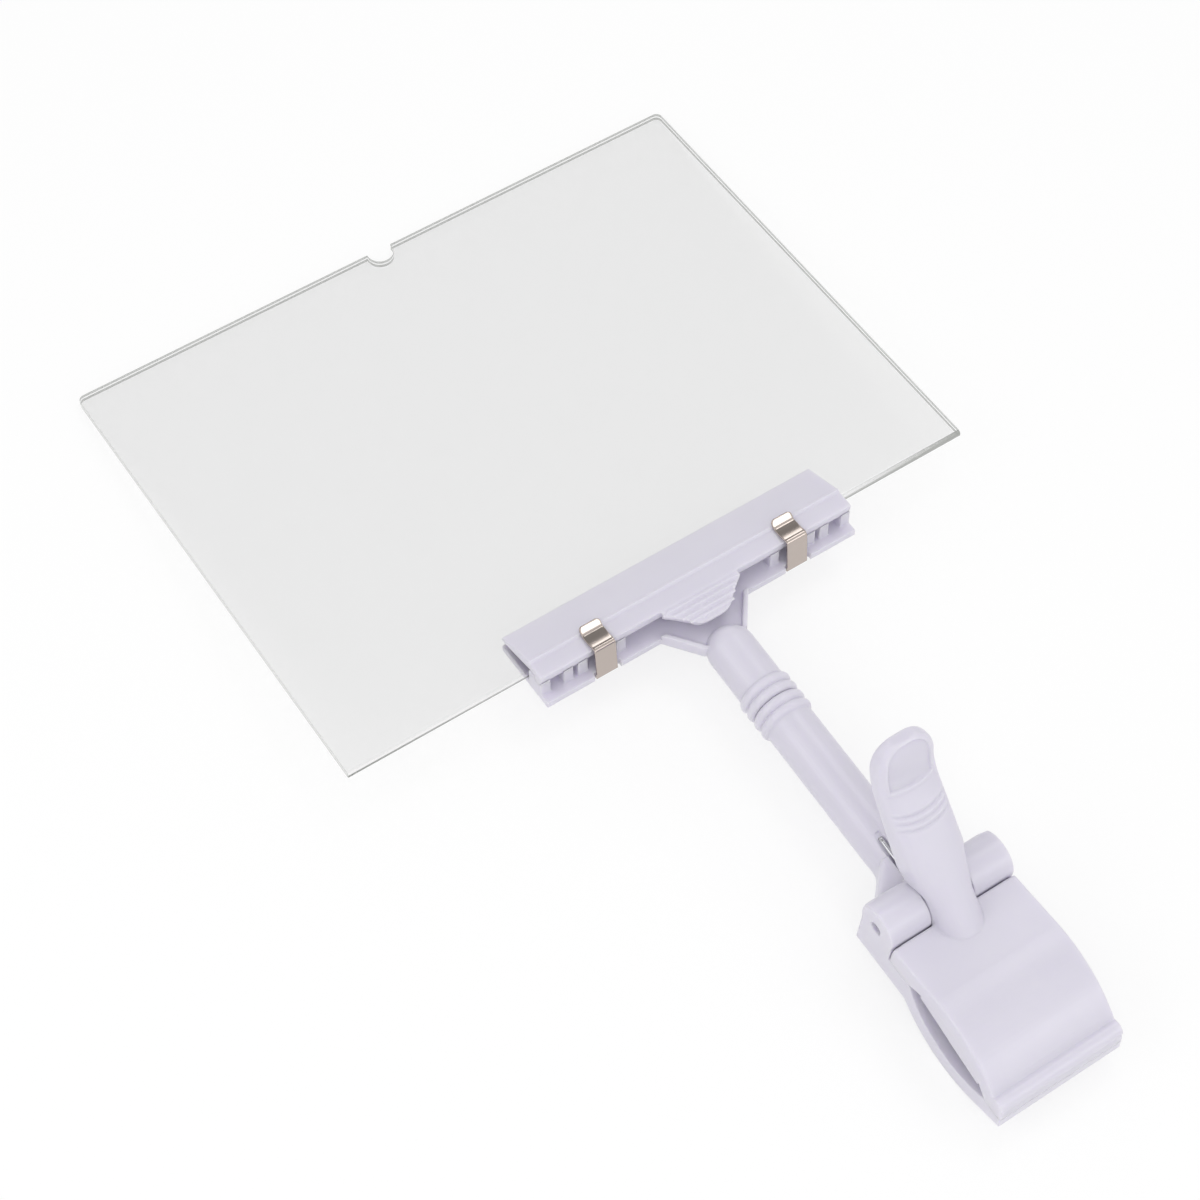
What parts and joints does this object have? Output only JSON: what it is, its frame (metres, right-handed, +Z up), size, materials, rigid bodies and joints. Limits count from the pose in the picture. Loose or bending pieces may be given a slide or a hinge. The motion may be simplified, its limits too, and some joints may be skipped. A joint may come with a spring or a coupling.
{
  "type": "clip-on sign holder",
  "caption": "Clip-on sign holder: a clear folded sleeve in a sprung gripper on a swivelling stem, with an arm that ends in a spring clamp opened by a thumb-shaped lever",
  "frame": {"origin": "middle of the ground that the holder covers when it lies on a table, at table height", "axes": "+X along the hinge pin, to the right seen from the clamp; +Y from the clamp along the arm to the sleeve; +Z up from the table"},
  "size_m": [0.16, 0.2516, 0.0529],
  "materials": {
    "clear_sheet": "clear, glossy acrylic sheet",
    "plastic": "pale lilac-grey moulded plastic, satin gloss",
    "nickel_steel": "nickel-plated spring steel"
  },
  "bodies": {
    "arm": {"clamp_arm": "plastic", "hinge_pin": "nickel_steel", "torsion_spring": "nickel_steel"},
    "jaw": {"upper_jaw": "plastic"},
    "head": {"gripper_rear_jaw": "plastic", "spring_clip_left": "nickel_steel", "spring_clip_right": "nickel_steel"},
    "front_jaw": {"gripper_front_jaw": "plastic"},
    "sleeve": {"sign_sleeve": "clear_sheet"}
  },
  "joints": [
    {"name": "clamp_open", "type": "hinge", "parent": "arm", "child": "jaw", "pos_m": [0.0047, -0.08228, 0.01766], "axis": [-1, 0, 0], "range_deg": [0, 30], "stiffness_Nm_per_rad": 0.5, "springref_deg": -34.38, "deforming": ["torsion_spring"]},
    {"name": "head_swivel", "type": "hinge", "parent": "arm", "child": "head", "pos_m": [0.0047, -0.02768, 0.01046], "axis": [0, 1, 0], "continuous": true},
    {"name": "gripper_open", "type": "hinge", "parent": "head", "child": "front_jaw", "pos_m": [0.0047, 0.0028, 0.01436], "axis": [1, 0, 0], "range_deg": [0, 10], "stiffness_Nm_per_rad": 0.3, "springref_deg": -22.92, "deforming": ["spring_clip_left", "spring_clip_right"]},
    {"name": "sleeve_pull", "type": "slide", "parent": "head", "child": "sleeve", "axis": [0, 0.9965, -0.0839], "range_m": [0, 0.01]}
  ]
}
